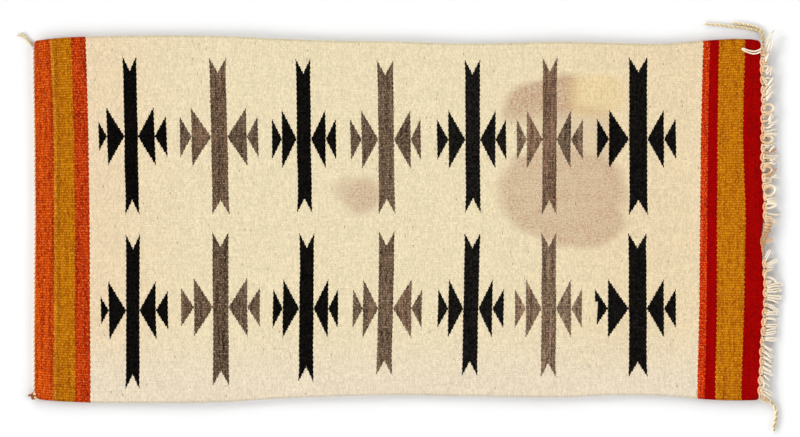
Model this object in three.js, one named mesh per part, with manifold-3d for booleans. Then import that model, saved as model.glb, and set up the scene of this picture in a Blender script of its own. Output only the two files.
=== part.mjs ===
// Small flat-woven wool rug with a cotton warp. A twined cord closes one end,
// the warp ends are knotted into a fringe at the other, and the cords of the
// side edges hang loose at three corners. Millimetres, +Z up, floor at Z = 0.
// X runs along the warp towards the fringe, Y across it, origin under the middle.
import * as THREE from "three";
import { mergeVertices } from "three/addons/utils/BufferGeometryUtils.js";
import Module from "manifold-3d";

const wasm = await Module();
wasm.setup();

// Driving dimensions
const GAP = 0.3;
const PANEL_THICKNESS = 3;
const PANEL_RIM = 1;
const HALF_WIDTH = 224;
const EDGE_STEP = 24;
const WARP_PITCH = 3.06;
const END_CORD_RADIUS = 1.3;
const END_CORD_SPAN = { front: -214, back: 213 };
const TAIL_RADIUS = 1.2;
const TAIL_BRANCH_SHARE = 0.7;
const SIDE_CORD_RADIUS = 1.1;
const FRONT_CORD_RADIUS = 1.4;
const LOOP_RADIUS = 0.8;

// The side edges at stations along the rug: the weaving draws in at the waist.
const SIDE_EDGES = [
  { along: -454, back: 222, front: -226 },
  { along: -420, back: 226, front: -228.5 },
  { along: -370, back: 227.5, front: -230.5 },
  { along: -310, back: 228.5, front: -230.5 },
  { along: -216, back: 227.8, front: -229.2 },
  { along: -160, back: 225, front: -225.5 },
  { along: -80, back: 222, front: -222 },
  { along: 0, back: 221, front: -220.5 },
  { along: 70, back: 218.5, front: -221.5 },
  { along: 140, back: 219, front: -222.5 },
  { along: 200, back: 220.6, front: -223.5 },
  { along: 270, back: 219, front: -220.5 },
  { along: 340, back: 218.3, front: -222 },
  { along: 385, back: 222.5, front: -226.2 },
  { along: 425, back: 224.5, front: -227.5 },
  { along: 456, back: 223, front: -226.5 },
];

// The two ends at stations across the rug.
const END_EDGES = [
  { across: -230, left: -453.8, right: 448.6 },
  { across: -202, left: -453.6, right: 449.4 },
  { across: -150, left: -453.8, right: 451.8 },
  { across: -102, left: -453.4, right: 455.2 },
  { across: -64, left: -453.2, right: 454.4 },
  { across: -27, left: -452.8, right: 452.4 },
  { across: 11, left: -452.6, right: 455.4 },
  { across: 48, left: -453, right: 453.2 },
  { across: 98, left: -453.2, right: 451.9 },
  { across: 148, left: -454, right: 452.8 },
  { across: 190, left: -454.6, right: 450.8 },
  { across: 228, left: -454.2, right: 452.5 },
];

// How far each corner is rounded off.
const CORNERS = { frontLeft: 9, frontRight: 4, backRight: 9, backLeft: 4 };

// The fringe: how far its strands reach and how far their tips lean, across the rug.
const FRINGE_RUN = [
  { across: -216, reach: 13, lean: -6.4 },
  { across: -170, reach: 15, lean: -5.6 },
  { across: -110, reach: 18, lean: -2.5 },
  { across: -60, reach: 15, lean: -1 },
  { across: -20, reach: 10, lean: 1 },
  { across: 20, reach: 12, lean: 2 },
  { across: 80, reach: 16, lean: 4 },
  { across: 140, reach: 17, lean: 6 },
  { across: 190, reach: 13, lean: 9 },
  { across: 214, reach: 12, lean: 13 },
];
const FRINGE = {
  front: -217,
  back: 212,
  strandsPerKnot: 4,
  stripWidth: 1.8,
  stripHeight: 2.4,
  knotSize: { along: 2.2, across: 3.2, up: 1.6 },
  knotOut: 2.6,
  rootPitch: 1.55,
  strandWidth: 1.2,
  strandHeight: 1.2,
  tipSpread: 0.8,
  bendNearTip: 0.3,
  shortest: 0.72,
  unevenAcross: 1.7,
  unevenByStrand: 2.3,
};

// The three loose ends of the side cords, by where they lie on the floor.
const SIDE_CORD_LONG = [
  [457.2, 219.2], [457.4, 222.5], [457.3, 225.8], [456.6, 229], [454.9, 231.9],
  [452.2, 234.1], [448.8, 235.4], [444.8, 236.2], [440.2, 236.8], [435, 237.8],
  [429.5, 238.8], [423, 239.5], [415.5, 240.3], [407.5, 241.4], [399.5, 242.3],
  [391.3, 242.8], [383.4, 243.5],
];
const SIDE_CORD_SHORT = [
  [459.9, 219.4], [460.1, 222.7], [459.9, 226.2], [459, 229.8], [457, 233.3],
  [454.3, 236], [450.9, 237.9], [447.2, 239.4], [443.5, 240.8], [439.6, 241.8],
  [435.4, 242.4], [431, 242.9], [426.6, 243.5], [422.4, 244], [418.5, 244.4],
];
const SIDE_CORD_FRONT = [
  [449.4, -223.8], [452.8, -224.9], [456.1, -225.9], [459.3, -226.9], [462.3, -227.9], [465, -229.1],
  [467.3, -230.7], [469.3, -232.8], [470.9, -235.5], [472.2, -238.4], [473.1, -241.4],
  [473.5, -244.6], [473.1, -248], [472.2, -251.6], [471.1, -256], [470.3, -261], [469.7, -266.4],
];

// The stray warp loop that lies on the panel beside the fringe.
const WARP_LOOP = [
  [453.4, 212], [449.3, 210.9], [445.5, 210.4], [441.5, 210.5], [437.5, 211.3], [433.4, 212.3],
  [430.6, 211.8], [430.7, 209.6], [433.5, 208.4], [437.5, 207.4], [441.6, 206.7], [445.8, 206.6],
  [449.8, 207.3], [453.2, 208.4],
];

// The end cord's loose end at the back left corner: a stem that splits in two.
const TAIL_STEM = [[-456.2, 215.4], [-458.6, 218.6], [-461.3, 221.7], [-464, 224.8], [-466.6, 227]];
const TAIL_LEFT = [[-465.4, 226], [-468.6, 228], [-472.2, 229], [-476.6, 229.8]];
const TAIL_BACK = [[-465.4, 226], [-467, 228.2], [-468, 230.4], [-468.6, 233]];

// The knot at the front left corner.
const KNOT = { x: -457.2, y: -224, radius: 2.4, tube: 1.1, flatten: 0.75 };
const KNOT_STUB = [[-459.5, -222.6], [-462, -222.2], [-464.6, -222.6]];

const wool = { roughness: 0.92, metalness: 0 };
const MATERIALS = {
  panel: new THREE.MeshStandardMaterial({ color: 0xe9d8b4, ...wool }),
  endCord: new THREE.MeshStandardMaterial({ color: 0xdfb584, ...wool }),
  warp: new THREE.MeshStandardMaterial({ color: 0xd9c4a4, ...wool }),
  gold: new THREE.MeshStandardMaterial({ color: 0xc79f52, ...wool }),
};

const part = new THREE.Group();

function addNode(name, geometry, material) {
  const mesh = new THREE.Mesh(geometry, material);
  mesh.name = name;
  part.add(mesh);
}

// A smooth curve through one column of a table, against another column.
function smoothColumn(rows, station, column) {
  const stations = rows.map((row) => row[station]);
  const values = rows.map((row) => row[column]);
  const curve = new THREE.CubicInterpolant(stations, values, 1);
  return (at) => curve.evaluate(at)[0];
}

const backEdge = smoothColumn(SIDE_EDGES, "along", "back");
const frontEdge = smoothColumn(SIDE_EDGES, "along", "front");
const leftEnd = smoothColumn(END_EDGES, "across", "left");
const rightEnd = smoothColumn(END_EDGES, "across", "right");

// Evenly spaced stations from one value to another, both included.
function stations(from, to, step) {
  const count = Math.max(1, Math.round(Math.abs(to - from) / step));
  return Array.from({ length: count + 1 }, (_, i) => from + ((to - from) * i) / count);
}

function solidOf(geometry) {
  const bare = geometry.clone();
  bare.deleteAttribute("normal");
  bare.deleteAttribute("uv");
  const merged = mergeVertices(bare);
  const vertProperties = new Float32Array(merged.attributes.position.array);
  const triVerts = new Uint32Array(merged.index.array);
  return new wasm.Manifold(new wasm.Mesh({ numProp: 3, vertProperties, triVerts }));
}

function geometryOf(solid) {
  const mesh = solid.getMesh();
  const geometry = new THREE.BufferGeometry();
  geometry.setAttribute("position", new THREE.BufferAttribute(mesh.vertProperties, 3));
  geometry.setIndex(new THREE.BufferAttribute(mesh.triVerts, 1));
  geometry.computeVertexNormals();
  return geometry;
}

function joined(geometries) {
  const solids = geometries.map(solidOf);
  return geometryOf(solids.reduce((whole, solid) => whole.add(solid)));
}

// A smooth level route through points given in plan.
function levelRoute(plan, height) {
  return new THREE.CatmullRomCurve3(plan.map(([x, y]) => new THREE.Vector3(x, y, height)));
}

// A plain round yarn along a route. A full circle takes two segments for each one asked for.
function yarn(route, radius, sides, steps) {
  const section = new THREE.Shape().absarc(0, 0, radius, 0, 2 * Math.PI);
  return new THREE.ExtrudeGeometry(section, { extrudePath: route, steps, curveSegments: sides / 2 });
}

// A two-ply cord: a waisted section of eight sides that turns as it follows its route.
function twistedCord(route, radius) {
  const sides = 8;
  const waist = 0.3;
  const turnPerStep = Math.PI / 4;
  const stepShare = 1.3;
  const stepLength = stepShare * radius;
  const steps = Math.round(route.getLength() / stepLength);
  const frames = route.computeFrenetFrames(steps);
  const positions = [];
  const faces = [];
  for (let i = 0; i <= steps; i += 1) {
    const centre = route.getPointAt(i / steps);
    for (let k = 0; k < sides; k += 1) {
      const around = (2 * Math.PI * k) / sides;
      const reach = radius * (1 - waist * Math.sin(around) ** 2);
      const turned = around + i * turnPerStep;
      const point = centre.clone();
      point.addScaledVector(frames.normals[i], reach * Math.cos(turned));
      point.addScaledVector(frames.binormals[i], reach * Math.sin(turned));
      positions.push(point.x, point.y, point.z);
    }
  }
  for (let i = 0; i < steps; i += 1) {
    for (let k = 0; k < sides; k += 1) {
      const here = i * sides + k;
      const beside = i * sides + ((k + 1) % sides);
      faces.push(here, beside, beside + sides, here, beside + sides, here + sides);
    }
  }
  const last = steps * sides;
  for (let k = 1; k < sides - 1; k += 1) {
    faces.push(0, k + 1, k, last, last + k, last + k + 1);
  }
  const geometry = new THREE.BufferGeometry();
  geometry.setAttribute("position", new THREE.Float32BufferAttribute(positions, 3));
  geometry.setIndex(faces);
  geometry.computeVertexNormals();
  return geometry;
}

// The woven panel: a flat slab with rounded rims, its outline as uneven as the weaving.
function panelGeometry() {
  const corner = (end, side, across) => ({ x: end(across), y: side(end(across)) });
  const frontLeft = corner(leftEnd, frontEdge, -HALF_WIDTH);
  const frontRight = corner(rightEnd, frontEdge, -HALF_WIDTH);
  const backRight = corner(rightEnd, backEdge, HALF_WIDTH);
  const backLeft = corner(leftEnd, backEdge, HALF_WIDTH);
  const outline = new THREE.Shape();
  const alongSide = (side, from, to) => {
    for (const x of stations(from, to, EDGE_STEP)) {
      outline.lineTo(x, side(x));
    }
  };
  const acrossEnd = (end, from, to) => {
    for (const y of stations(from, to, EDGE_STEP)) {
      outline.lineTo(end(y), y);
    }
  };
  const front = { from: frontLeft.x + CORNERS.frontLeft, to: frontRight.x - CORNERS.frontRight };
  const right = { from: frontRight.y + CORNERS.frontRight, to: backRight.y - CORNERS.backRight };
  const back = { from: backRight.x - CORNERS.backRight, to: backLeft.x + CORNERS.backLeft };
  const left = { from: backLeft.y - CORNERS.backLeft, to: frontLeft.y + CORNERS.frontLeft };
  outline.moveTo(front.from, frontEdge(front.from));
  alongSide(frontEdge, front.from, front.to);
  outline.quadraticCurveTo(frontRight.x, frontRight.y, rightEnd(right.from), right.from);
  acrossEnd(rightEnd, right.from, right.to);
  outline.quadraticCurveTo(backRight.x, backRight.y, back.from, backEdge(back.from));
  alongSide(backEdge, back.from, back.to);
  outline.quadraticCurveTo(backLeft.x, backLeft.y, leftEnd(left.from), left.from);
  acrossEnd(leftEnd, left.from, left.to);
  outline.quadraticCurveTo(frontLeft.x, frontLeft.y, front.from, frontEdge(front.from));
  const slab = new THREE.ExtrudeGeometry(outline, {
    depth: PANEL_THICKNESS - 2 * PANEL_RIM,
    curveSegments: 4,
    bevelThickness: PANEL_RIM,
    bevelSize: PANEL_RIM,
    bevelOffset: -PANEL_RIM,
    bevelSegments: 1,
  });
  return slab.translate(0, 0, PANEL_RIM);
}

// The cord along the plain end, a hair outside the panel.
function endCordGeometry() {
  const across = stations(END_CORD_SPAN.front, END_CORD_SPAN.back, EDGE_STEP);
  const plan = across.map((y) => [leftEnd(y) - GAP - END_CORD_RADIUS, y]);
  return yarn(levelRoute(plan, END_CORD_RADIUS), END_CORD_RADIUS, 8, plan.length);
}

function tailGeometry() {
  const branchRadius = TAIL_RADIUS * TAIL_BRANCH_SHARE;
  return joined([
    yarn(levelRoute(TAIL_STEM, TAIL_RADIUS), TAIL_RADIUS, 8, 6),
    yarn(levelRoute(TAIL_LEFT, branchRadius), branchRadius, 6, 6),
    yarn(levelRoute(TAIL_BACK, branchRadius), branchRadius, 6, 5),
  ]);
}

function knotGeometry() {
  const height = (KNOT.radius / 2 + KNOT.tube) * KNOT.flatten;
  const knot = new THREE.TorusKnotGeometry(KNOT.radius, KNOT.tube, 40, 6, 2, 3);
  knot.scale(1, 1, KNOT.flatten).translate(KNOT.x, KNOT.y, height);
  return joined([knot, yarn(levelRoute(KNOT_STUB, KNOT.tube), KNOT.tube, 6, 4)]);
}

// A narrow strip that follows the panel's right end a hair away.
function fringeStrip() {
  const inner = stations(FRINGE.front, FRINGE.back, EDGE_STEP).map((y) => [rightEnd(y) + GAP, y]);
  const outer = inner.map(([x, y]) => [x + FRINGE.stripWidth, y]).reverse();
  const outline = new THREE.Shape([...inner, ...outer].map(([x, y]) => new THREE.Vector2(x, y)));
  return new THREE.ExtrudeGeometry(outline, { depth: FRINGE.stripHeight, bevelEnabled: false });
}

function fringeKnot(x, y) {
  const { along, across, up } = FRINGE.knotSize;
  return new THREE.SphereGeometry(1, 6, 4).scale(along, across, up).translate(x, y, up);
}

// One warp end: a three-sided strand that leaves its knot and lies level on the floor.
function fringeStrand(root, tip) {
  const half = FRINGE.strandWidth / 2;
  const lift = FRINGE.strandHeight / 2;
  const section = new THREE.Shape([
    new THREE.Vector2(lift, -half),
    new THREE.Vector2(lift, half),
    new THREE.Vector2(-lift, 0),
  ]);
  const bend = { x: (root.x + tip.x) / 2, y: root.y + (tip.y - root.y) * FRINGE.bendNearTip };
  const route = new THREE.QuadraticBezierCurve3(
    new THREE.Vector3(root.x, root.y, lift),
    new THREE.Vector3(bend.x, bend.y, lift),
    new THREE.Vector3(tip.x, tip.y, lift),
  );
  return new THREE.ExtrudeGeometry(section, { extrudePath: route, steps: 2 });
}

function fringeGeometry() {
  const reach = smoothColumn(FRINGE_RUN, "across", "reach");
  const lean = smoothColumn(FRINGE_RUN, "across", "lean");
  const pieces = [fringeStrip()];
  const knotPitch = WARP_PITCH * FRINGE.strandsPerKnot;
  const margin = FRINGE.knotSize.across;
  for (const y of stations(FRINGE.front + margin, FRINGE.back - margin, knotPitch)) {
    const x = rightEnd(y) + GAP + FRINGE.knotOut;
    pieces.push(fringeKnot(x, y));
    for (let i = 0; i < FRINGE.strandsPerKnot; i += 1) {
      const aside = i - (FRINGE.strandsPerKnot - 1) / 2;
      const wave = Math.abs(Math.sin(y * FRINGE.unevenAcross + i * FRINGE.unevenByStrand));
      const uneven = FRINGE.shortest + (1 - FRINGE.shortest) * wave;
      const root = { x, y: y + aside * FRINGE.rootPitch };
      const tip = {
        x: x + reach(y) * uneven,
        y: y + aside * WARP_PITCH * FRINGE.tipSpread + lean(y) * uneven,
      };
      pieces.push(fringeStrand(root, tip));
    }
  }
  return joined(pieces);
}

function warpLoopGeometry() {
  const height = PANEL_THICKNESS + GAP + LOOP_RADIUS;
  return yarn(levelRoute(WARP_LOOP, height), LOOP_RADIUS, 6, 24);
}

addNode("panel", panelGeometry(), MATERIALS.panel);
addNode("end_cord", endCordGeometry(), MATERIALS.endCord);
addNode("end_cord_tail", tailGeometry(), MATERIALS.gold);
addNode("end_cord_knot", knotGeometry(), MATERIALS.endCord);
addNode("fringe", fringeGeometry(), MATERIALS.warp);
addNode("warp_loop", warpLoopGeometry(), MATERIALS.warp);

const sideCords = [
  { name: "side_cord_long", plan: SIDE_CORD_LONG, radius: SIDE_CORD_RADIUS },
  { name: "side_cord_short", plan: SIDE_CORD_SHORT, radius: SIDE_CORD_RADIUS },
  { name: "side_cord_front", plan: SIDE_CORD_FRONT, radius: FRONT_CORD_RADIUS },
];
for (const { name, plan, radius } of sideCords) {
  addNode(name, twistedCord(levelRoute(plan, radius), radius), MATERIALS.gold);
}

export default part;
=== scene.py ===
import math
from functools import partialmethod, reduce

import bpy
import numpy as np
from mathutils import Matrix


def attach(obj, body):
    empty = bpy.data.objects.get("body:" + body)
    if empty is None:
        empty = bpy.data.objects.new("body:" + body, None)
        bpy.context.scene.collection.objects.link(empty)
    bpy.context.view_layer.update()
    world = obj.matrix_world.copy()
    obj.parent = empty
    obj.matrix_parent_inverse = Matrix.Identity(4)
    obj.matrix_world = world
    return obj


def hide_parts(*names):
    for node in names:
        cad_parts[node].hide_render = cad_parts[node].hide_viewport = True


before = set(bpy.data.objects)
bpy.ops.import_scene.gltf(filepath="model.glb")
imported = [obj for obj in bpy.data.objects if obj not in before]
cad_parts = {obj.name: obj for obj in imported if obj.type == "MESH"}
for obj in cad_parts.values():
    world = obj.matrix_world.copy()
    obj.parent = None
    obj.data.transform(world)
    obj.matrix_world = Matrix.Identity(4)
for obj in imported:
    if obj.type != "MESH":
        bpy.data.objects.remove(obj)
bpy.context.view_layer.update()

# A small flat-woven rug: weft-faced wool on a cotton warp, laid flat and seen from above.
# X runs along the warp, Y along the weft. Sizes are in millimetres unless a comment says
# otherwise, and everything is turned into metres when its mesh is made.
MM = 0.001
PHOTO_WIDTH = 800
PHOTO_MM_PER_PIXEL = 1.25
PHOTO_CENTRE = (2.5, 0.0)

# The weave, and how far the weft steps in and out where two colours meet.
RIBS = 148
RIB_SAMPLES = 4
RIB_RELIEF = 0.45
RIB_ROUNDNESS = 0.9
WARP_PITCH = 3.06
BEAD = 1.25
THICKNESS = 3.0
PANEL_COLUMNS = 84
FINE_TOOTH = 0.36
BOLD_TOOTH = 0.5
FIGURE_TOOTH = 0.26
FIGURE_DRIFT = 2.0

# Where the lines between two colours of weft run, at stations across the rug.
WEFT_LINES = ("orange_gold", "gold_orange", "orange_cream",
              "cream_orange", "orange_red", "red_gold", "gold_red")
WEFT_LINE_RUN = [
    # across, then one place along the rug for each line
    (-217, (-431.1, -403.1, -384.1, 373.6, 383.4, 396.6, 428.6)),
    (-113, (-429.9, -404.4, -385.0, 376.5, 385.5, 398.8, 431.5)),
    (-3, (-430.0, -404.0, -385.5, 377.6, 386.3, 398.8, 434.0)),
    (107, (-430.1, -405.0, -387.1, 378.6, 387.4, 399.8, 430.2)),
    (217, (-434.6, -408.4, -390.0, 381.5, 389.3, 401.1, 433.2)),
]
WEFT_LINE_AT = dict(zip(WEFT_LINES, WEFT_LINE_RUN[2][1]))
ORANGE_MIDDLES = (-442.5, -394.7)
# How far into the left gold stripe its light line and then its dark line end.
LIGHT_LINE_END = 3.6
DARK_LINE_END = 8.0
# Where the ground's left part turns into its middle, and that into its right and front parts.
CREAM_TURNS = ((-390.0, -230.0), (60.0, 370.0), (-120.0, -215.0))

# The figures: a bar with forked ends, and two triangles on each side of it. The bar's
# axis is given at its back and front tips, and the triangles by how far their bases
# lie from the axis. A tone up to BLACK_TONE is black wool, and any other is grey, by its
# lightness. Sides is how light the triangles are beside their bar.
BLACK_TONE = 0.1
FIGURE_COLUMNS = ("tone", "back_x", "front_x", "half_bar", "back", "front", "mid",
                  "left_big", "left_small", "right_big", "right_small",
                  "left_tall", "right_tall", "lean", "sides")
FIGURES = [
    (0, -335.6, -332, 8.4, 203, 4.6, 102.8, 29.8, 40.4, 29.6, 44.6, 18.5, 25.6, -0.04, 1),
    (1, -225.6, -221.3, 10.2, 201, 4.6, 101.9, 34.7, 49.1, 34, 48.4, 25.6, 25.6, -0.028, 0.78),
    (0.02, -118.8, -116.3, 8.8, 200, 6.9, 99.4, 27.5, 40, 26.9, 40, 25.6, 25.6, -0.012, 1),
    (0.93, -16, -13.8, 9.8, 198, 5.6, 98.8, 30.6, 44.4, 30.6, 43.1, 25.6, 25.6, -0.012, 0.88),
    (0.08, 93.1, 93.8, 9.1, 199, 6.9, 98.8, 30.4, 44.7, 28.4, 41.5, 25.6, 25.6, -0.003, 1),
    (1.38, 190, 189, 8.7, 202, 4.4, 98.8, 28.5, 41, 26.5, 41.5, 25.6, 25.6, 0.003, 0.93),
    (0.04, 300, 300.6, 11.2, 202, 4.4, 99.4, 36.5, 51.5, 32.2, 47.2, 25.6, 25.6, 0.003, 1),
    (0.01, -331.3, -331.9, 8.4, -19.4, -213.4, -115, 29.8, 39.7, 29, 44, 17.5, 24.4, -0.024, 1),
    (0.67, -221.9, -221.3, 9.8, -16.9, -209, -110.8, 33.4, 49.6, 33.4, 49, 24.4, 24.4, -0.01, 1.24),
    (0.02, -113.8, -115, 8.8, -18.1, -204, -112.5, 29.4, 41.9, 26.9, 39.4, 24.4, 24.4, 0.006, 1),
    (1, -13.8, -17.5, 9.4, -15.6, -196, -112.5, 28.1, 40.6, 32.5, 45.6, 24.4, 24.4, 0.015, 1.14),
    (0.07, 93.1, 89.4, 9.4, -18.1, -197, -112.5, 28.1, 41.2, 26.9, 41.2, 24.4, 24.4, 0.015, 1),
    (1.40, 188.8, 188.1, 9, -16.9, -199, -112.5, 28.5, 42.2, 27.8, 41.5, 24.4, 24.4, 0.004, 1.14),
    (0.04, 299.4, 300, 11, -18.1, -198, -112.5, 37.2, 53.5, 32.7, 47.7, 24.4, 24.4, -0.003, 1),
]
BIG_TALL = 36.6
FORK = 18.5
FLARE = 0.5

# Old spills. One that has partly faded is gone in front of one line and right of another.
# For the rest those lines lie off the rug.
STAINS = [
    # x, y, half length, half width, squareness, strength, gone in front, gone right
    (206, 34, 79, 56, 2.2, 0.47),
    (224, 0, 61, 36, 2, 0.47),
    (222, 104, 56, 40, 2, 0.24),
    (215, 132, 84, 47, 2, 0.64, 126, 222),
    (-45, 28, 23, 21, 2, 0.52),
    (-64, 36, 13, 13, 2, 0.4),
]
OFF_THE_RUG = (-400, 600)
STAIN_WOBBLE = 0.4
STAIN_RAGGED = 12.0
STAIN_SOFT = 11.0
STAIN_RIM = 0.08
# A yellowed patch, by the first five of the same columns.
YELLOWING = (246, 154, 40, 28, 3.0)

# The fringe. Its heading is a chain of scallops, one for each knot of four warps, and loose
# warp ends run out from it: cut ends and hairpins, and rings where an uncut warp turns back.
# All are placed across the rug and out of its edge, and droop by a share of how far they run.
KNOT_COUNT = 36
KNOT_SPAN = (-213.8, 208.8)
KNOT_HEIGHT = 1.4
LOBE_RADIUS = 1.35
WRAP_RADIUS = 1.15
SHADOW_TUCK_RADIUS = 1.0
DROOP = 0.24
# A strand's tan runs from 0 for white to 1 for tan, or is BROWN. A row for a group of like
# strands gives the first and last place and their count, and the first and last heading.
PIN = "hairpin"
BROWN = 2
STRANDS = [
    # across, heading, bend, length, root, radius, tan, and PIN where the end is not cut
    (213, 73, -2, 14, 7, 0.65, 0.3),
    (208, 72, -2, 16, 9.4, 0.65, 0),
    (209, 74, 2, 15, 12.2, 0.65, 0.1),
    (222, 52, 2, 12, 9, 0.6, 0.1),
    (230.5, 52, 0, 5, 15.8, 0.5, BROWN),
    ((206, 203, 2), (4, 14), 0, 8, 2.5, 1.1, 1),
    (199, 42, -6, 9, 4, 1.1, 0.1),
    (195, 62, 8, 13, 7, 1.1, 0),
    ((195.5, 191, 3), (4, -4), 0, 8, 2.5, 1.15, 1),
    ((180, 181.5, 2), (57, 62), 0, 9, 8, 0.7, 0.3),
    (178, 74, 14, 11, 12.5, 0.8, 1),
    ((177.5, 175, 2), (-60, -58), 0, 11, 2.2, 1, 0.3),
    (174.5, 10, 0, 9, 4.5, 0.9, 0),
    (165, 57, 2, 13, 8.5, 1.3, 0.4),
    (160, 60, 0, 10, 5.5, 1.1, 0.9),
    ((157, 147, 4), (51, 47), 0, 15, 6, 1.15, 0.1),
    ((121.5, 119.5, 2), (58, 54), 0, 10, 9.5, 1, 0.1),
    (118, 20, 0, 12, 9, 0.9, 0),
    (112.5, 40, -4, 12, 8.5, 1, 0.1),
    (113.5, 8, 0, 9, 4, 1, 0.2),
    ((108.5, 104.5, 3), (8, -2), 0, 17, 3, 1.05, 0.4),
    (95, -18, 45, 13, 3, 1.3, 0.9),
    (90, 4, 14, 14, 5, 1, 0.2),
    (84, -18, 75, 20, 2.5, 1.1, BROWN),
    (83.5, 50, 0, 11, 11, 0.9, 0.1),
    (80, -18, 30, 20, 3, 1.05, 0.3),
    (76, 2, 2, 14, 6, 1, 0.1),
    ((72.5, 70, 2), (10, -6), 0, 8, 11, 0.8, 0.1),
    ((68.5, 64.5, 3), (0, 4), 2, 10, 3, 1.15, 1),
    (53, -8, 66, 20, 3, 1.1, BROWN),
    ((50.5, 51.5, 2), (24, -10), 0, 10, 12, 0.7, 0),
    (39.5, 4, -24, 15, 3, 1.2, 0.8),
    ((22.5, 19.5, 2), (14, 4), 0, 11, 4, 1.1, 0.1, PIN),
    (8, -22, 36, 20, 2, 1.2, 0.2),
    (-29, 20, 2, 9, 5, 1, 1, PIN),
    (-56, 61, 0, 17, 3, 0.95, 0.1, PIN),
    (-58.5, 20, 0, 14, 4, 1, 0.4, PIN),
    (-61, 8, 0, 8, 5, 1, 0.4),
    (-66, 18, 0, 9, 4, 1, 0.7),
    (-66, -92, 0, 10, 4, 1.4, 0.8),
    (-74, 8, -66, 19, 3.5, 1.2, 0),
    ((-79, -82.5, 2), (10, 22), 0, 9, 2.5, 1.1, 0.2),
    (-86.5, 26, -30, 19, 4, 1.15, 0, PIN),
    ((-91, -96.8, 2), (4, 0), -2, 17, 4.5, 1.2, 0, PIN),
    (-101, 4, -30, 17, 3.5, 1.1, 0),
    (-108, -4, -54, 16, 3, 1.1, 0.1, PIN),
    (-115, 10, -20, 6, 3.5, 1, 0.1),
    (-119, 16, -20, 13, 4, 1.1, 0.1, PIN),
    (-125, 4, -16, 15, 3.5, 1.2, 0.1),
    (-125.5, -92, 4, 8, 4.4, 1.3, 0.3),
    (-134, 2, 2, 13, 5, 1.1, 0.2, PIN),
    ((-140.5, -146, 3), (13, 10), 0, 15, 5, 1.05, 0.2),
    (-150.3, 0, 0, 12, 6, 1.1, 0, PIN),
    ((-156, -190, 6), (-46, -40), 20, 16, 3, 0.92, 0),
    ((-159, -186.5, 5), (-22, -16), -32, 16, 3, 0.92, 0.05),
    (-195, -42, 0, 10, 6, 1, 0.1),
    (-200, -40, -70, 14, 4, 1.1, 0.4),
    (-203, -28, 0, 13, 4, 0.9, 0.1),
    ((-211, -218, 3), (-10, -22), -38, 18, 3, 1.1, 0.1),
]
RINGS = [
    # across, reach, half width, lean, radius, tan
    (186, 11, 3.2, 3, 1, 0.6),
    (151, 9, 3, 3, 1, 0.5),
    (137, 15.5, 5.2, 1, 1.35, 0.8),
    (125, 14, 4.4, 3, 1.2, 0.8),
    (98.6, 15, 4.6, 0.5, 1.3, 0.85),
    (90, 8.5, 1.8, 0, 0.9, 0.3),
    (72, 13.5, 3.8, 0, 1.2, 0.9),
    (59, 12.5, 4.8, 2, 1.2, 0.9),
    (46.5, 11, 3.4, 1.5, 1.2, 0.95),
    (33, 15.5, 6.2, 3.5, 1.4, 0.75),
    (15, 15.5, 3.2, 2.5, 1.2, 0.2),
    (-0.5, 10, 3, 0, 1.2, 0.6),
    (-4, 15.5, 4, 0, 1.2, 1),
    (-8.5, 11, 2.6, -1, 1.1, 1),
    (-12, 9, 2.4, -2, 1.1, 1),
]
# Brown warps twisted together along the edge, by how far out of it and where across.
TANGLE = [
    [(8, -2), (7.5, -8), (5.5, -15), (4, -23), (2, -31), (1, -39), (1.2, -47)],
    [(3.5, -3), (5, -9), (7.5, -16), (5, -23), (1, -29), (0.2, -36), (0.4, -42)],
    [(11, -5), (9, -10), (4, -15), (2.5, -22), (4.5, -29), (2, -36), (1.5, -44)],
    [(1.5, -5), (2, -12), (1.5, -19), (-0.5, -26), (-1, -33)],
    [(10, -14), (8, -17), (5, -20), (2, -26)],
]
TANGLE_RADIUS = 1.3
TANGLE_SPAN = (-46, -4)
# The yarn wound over the fringe's two ends, in plan.
CORNER_WRAPS = [
    [(451, -215), (453, -219), (455.5, -223), (458.5, -226.5), (462, -228.5)],
    [(452, -213.5), (455, -217.5), (457, -221.5), (459.5, -226)],
    [(450.5, -219), (453, -223), (456.5, -226.5), (460.5, -228.4), (464, -228)],
    [(450, -222.5), (453.5, -225.6), (457.5, -227.8)],
    [(455, -215), (457.5, -219.5), (459.5, -223.5), (461, -227)],
    [(453.5, 220), (455.6, 215.5), (457.6, 211), (460, 207)],
    [(452.8, 214.5), (456, 212), (459.5, 208.5)],
    [(452.4, 210), (455.5, 208.6), (459, 205.5)],
]

# Where the soft right end begins to swell past the plain solid, and how far it swells. Then how
# far each edge of the cloth rises off the floor, and how far in the rise begins.
RIGHT_SWELL = (300, 1.7)
RISE = {"right": (3.4, 55), "left": (2.2, 22), "back": (3.6, 24), "front": (3.4, 24)}

# The loose ends of the side cords, in plan, and their radii. The soft plies stand out past
# those by the loft.
SIDE_CORD_LONG = [
    (455.7, 219.2), (455.9, 222.5), (455.9, 225.8), (455.4, 229), (454, 231.9), (451.7, 234.1),
    (448.6, 235.4), (444.8, 236.2), (440.2, 236.8), (435, 237.8), (429.5, 238.8), (423, 239.5),
    (415.5, 240.3), (407.5, 241.4), (399.5, 242.3), (391.3, 242.8), (383.4, 243.5),
]
SIDE_CORD_SHORT = [
    (457.4, 219.4), (457.6, 222.7), (457.7, 226.2), (457.2, 229.8), (455.7, 233.3), (453.5, 236),
    (450.6, 237.9), (447.2, 239.4), (443.5, 240.8), (439.6, 241.8), (435.4, 242.4), (431, 242.9),
    (426.6, 243.5), (422.4, 244), (418.5, 244.4),
]
SIDE_CORD_FRONT = [
    (449.4, -223.8), (452.8, -224.9), (456.1, -225.9), (459.3, -226.9), (462.3, -227.9), (465, -229.1),
    (467.3, -230.7), (469.3, -232.8), (470.9, -235.5), (472.2, -238.4), (473.1, -241.4), (473.5, -244.6),
    (473.1, -248), (472.2, -251.6), (471.1, -256), (470.3, -261), (469.7, -266.4),
]
SIDE_CORD_RADIUS = 1.1
FRONT_CORD_RADIUS = 1.4
CORD_LOFT = 1.22

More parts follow.
